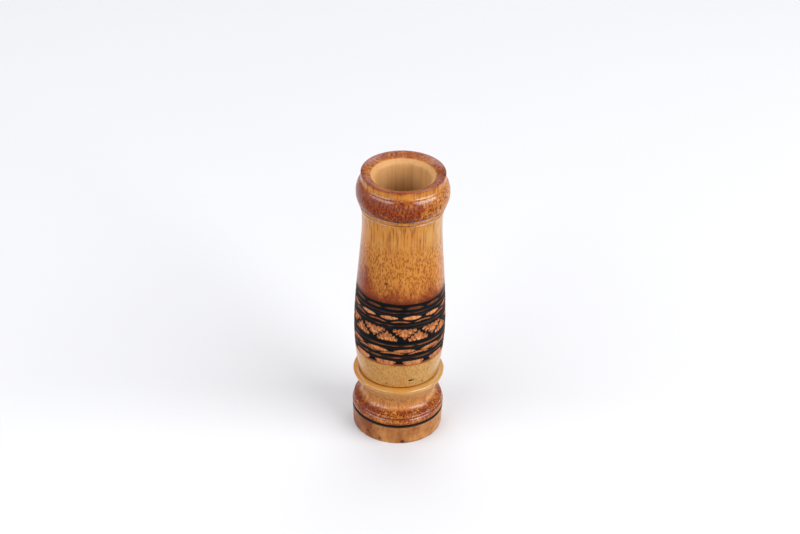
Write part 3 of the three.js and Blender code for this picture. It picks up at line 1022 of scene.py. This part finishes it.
def add_camera():
    """The camera, at the photograph's height and with its slight roll."""
    data = bpy.data.cameras.new("camera")
    data.lens = LENS
    data.sensor_width = SENSOR
    data.clip_start = 0.01
    camera = bpy.data.objects.new("camera", data)
    bpy.context.scene.collection.objects.link(camera)
    tilt = math.radians(CAMERA_ELEVATION)
    back = Vector((0, -math.cos(tilt), math.sin(tilt)))
    right = Vector((1, 0, 0))
    up = back.cross(right)
    roll = math.radians(CAMERA_ROLL)
    rolled_right = right * math.cos(roll) + up * math.sin(roll)
    rolled_up = up * math.cos(roll) - right * math.sin(roll)
    axes = Matrix((rolled_right, rolled_up, back)).transposed()
    camera.matrix_world = Matrix.Translation(CAMERA_AIM + back * CAMERA_DISTANCE) @ axes.to_4x4()
    bpy.context.scene.camera = camera


def add_softbox(name, azimuth, elevation, distance, size, watts, aim=(0, 0, 0.07)):
    """A soft lamp, its azimuth counted from the front towards +X."""
    data = bpy.data.lights.new(name, "AREA")
    data.shape = "RECTANGLE"
    data.size, data.size_y = size
    data.energy = watts
    lamp = bpy.data.objects.new(name, data)
    bpy.context.scene.collection.objects.link(lamp)
    az, el = math.radians(azimuth), math.radians(elevation)
    away = Vector((math.sin(az) * math.cos(el), -math.cos(az) * math.cos(el), math.sin(el)))
    lamp.location = Vector(aim) + away * distance
    lamp.rotation_euler = away.to_track_quat("Z", "Y").to_euler()


def add_floor(material):
    """A plain floor, kept out of the varnish's reflections, as by dark cards out of the frame."""
    width = FLOOR_STEPS + 1
    line = np.linspace(-FLOOR_HALF, FLOOR_HALF, width)
    points = [(x, y, 0.0) for y in line for x in line]
    faces = [(j * width + i, j * width + i + 1, (j + 1) * width + i + 1, (j + 1) * width + i)
             for j in range(FLOOR_STEPS) for i in range(FLOOR_STEPS)]
    mesh = bpy.data.meshes.new("floor")
    mesh.from_pydata(points, [], faces)
    mesh.materials.append(material)
    floor = bpy.data.objects.new("floor", mesh)
    bpy.context.scene.collection.objects.link(floor)
    floor.visible_glossy = False


def add_surroundings():
    """White near the horizon and, for reflections, low behind the call; dimmer above and in front."""
    world = bpy.data.worlds.new("studio")
    world.use_nodes = True
    nodes, links = world.node_tree.nodes, world.node_tree.links

    def ramp(value, *limits):
        node = nodes.new("ShaderNodeMapRange")
        node.interpolation_type = "SMOOTHSTEP"
        links.new(value, node.inputs["Value"])
        for socket, limit in zip(("From Min", "From Max", "To Min", "To Max"), limits):
            node.inputs[socket].default_value = limit
        return node.outputs["Result"]

    def combine(operation, *values):
        node = nodes.new("ShaderNodeMath")
        node.operation = operation
        for socket, value in zip(node.inputs, values):
            links.new(value, socket)
        return node.outputs[0]

    back = nodes["Background"]
    back.inputs["Color"].default_value = DAYLIGHT
    direction = nodes.new("ShaderNodeTexCoord")
    split = nodes.new("ShaderNodeSeparateXYZ")
    links.new(direction.outputs["Generated"], split.inputs[0])
    _, behind, up = split.outputs
    horizon = ramp(combine("ABSOLUTE", up), 0.14, 0.26, HORIZON, OVERHEAD)
    low_behind = combine("MULTIPLY", ramp(up, -0.1, 0.0, 1.0, 0.0), ramp(behind, -0.1, 0.5, 0.0, LOW_BEHIND))
    links.new(combine("MAXIMUM", horizon, low_behind), back.inputs["Strength"])
    bpy.context.scene.world = world


def add_lamps():
    """A wide strip on the left, a larger key on the right, and soft fill from above and behind."""
    add_softbox("left_strip", -57, 33, 1.3, (1.45, 0.62), watts=14.5)
    add_softbox("key_right", 62, 29, 1.3, (1.2, 0.7), watts=23)
    add_softbox("top_fill", 180, 75, 1.8, (1.6, 1.2), watts=5)
    add_softbox("back_wash", 180, 80, 1.5, (1.8, 1.0), watts=18, aim=(0, 1.0, 0))


def build_object():
    """Every piece, each with its material."""
    varnished = bamboo("bamboo_varnished", roughness=0.2, specular=0.5, relief=0.07)
    carved = bamboo("bamboo_carved", roughness=0.34, specular=0.14, relief=0.3)
    core_wood = plain_wood("core_wood", *CORE_WOOD, roughness=0.5)
    board_wood = plain_wood("board_wood", *BOARD_WOOD, roughness=0.42)
    pressed = cork("cork")
    build_barrel(varnished, carved)
    build_ring("collar_bead", collar_outline(), collar_tone, varnished, "collar", "collar_ring")
    build_ring("stopper_turned", shell_outline(), shell_tone, varnished, "stopper", "stopper_shell",
               burn=shell_burn, bare=shell_raw_and_painted_light)
    build_ring("base_turned", base_outline(), base_tone, bare_bamboo("bamboo_bare"),
               "stopper", "base_ring", burn=base_burn)
    build_ring("core_turned", core_outline(), plain_tone, core_wood, "stopper", "core_plug")
    build_ring("cork_sleeve", cork_outline(), plain_tone, pressed, "stopper", "tenon_cork",
               sway=CORK_SWAY)
    build_tone_board(board_wood)
    build_reed(cane("cane"))
    build_wedge(pressed)


add_camera()
add_surroundings()
add_lamps()
add_floor(studio_white("studio_white"))
build_object()
bpy.context.scene.view_settings.view_transform = "Standard"
